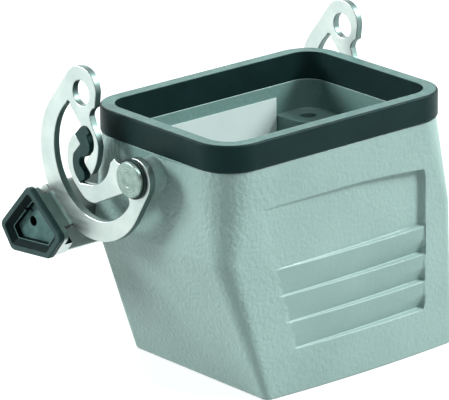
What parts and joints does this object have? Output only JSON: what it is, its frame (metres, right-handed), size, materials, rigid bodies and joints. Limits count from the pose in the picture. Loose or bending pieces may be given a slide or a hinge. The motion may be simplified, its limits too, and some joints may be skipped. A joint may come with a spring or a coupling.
{
  "type": "heavy duty rectangular connector hood",
  "caption": "Cast rectangular connector hood with a sealed mating rim, screw bosses for an insert, a side cable entry and a locking lever along its long side.",
  "frame": {"origin": "on the rest face, straight below the centre of the mating rim", "axes": "+X along the long side towards the cable entry, +Y towards the lever's grip, +Z out of the mating rim"},
  "size_m": [0.079, 0.0584, 0.0637],
  "materials": {
    "hood_coat": "grey textured powder coat on die-cast alloy",
    "seal": "satin black elastomer",
    "label": "pale blank film",
    "lever_steel": "satin stainless sheet",
    "stud_steel": "turned stainless",
    "washer": "black",
    "insert": "black elastic plastic",
    "cap": "black, fine grained"
  },
  "bodies": {
    "hood": {"hood_shell": "hood_coat", "rim_seal": "seal", "inner_label": "label", "pivot_stud_left": "stud_steel", "pivot_stud_right": "stud_steel", "head_washer_left": "washer", "head_washer_right": "washer"},
    "lever": {"locking_bow": "lever_steel", "spring_insert_left": "insert", "spring_insert_right": "insert", "grip_cap_left": "cap", "grip_cap_right": "cap"}
  },
  "joints": [
    {"name": "lever_pivot", "type": "hinge", "parent": "hood", "child": "lever", "pos_m": [0, 0, 0.0446], "axis": [1, 0, 0], "range_deg": [0, 55]}
  ]
}
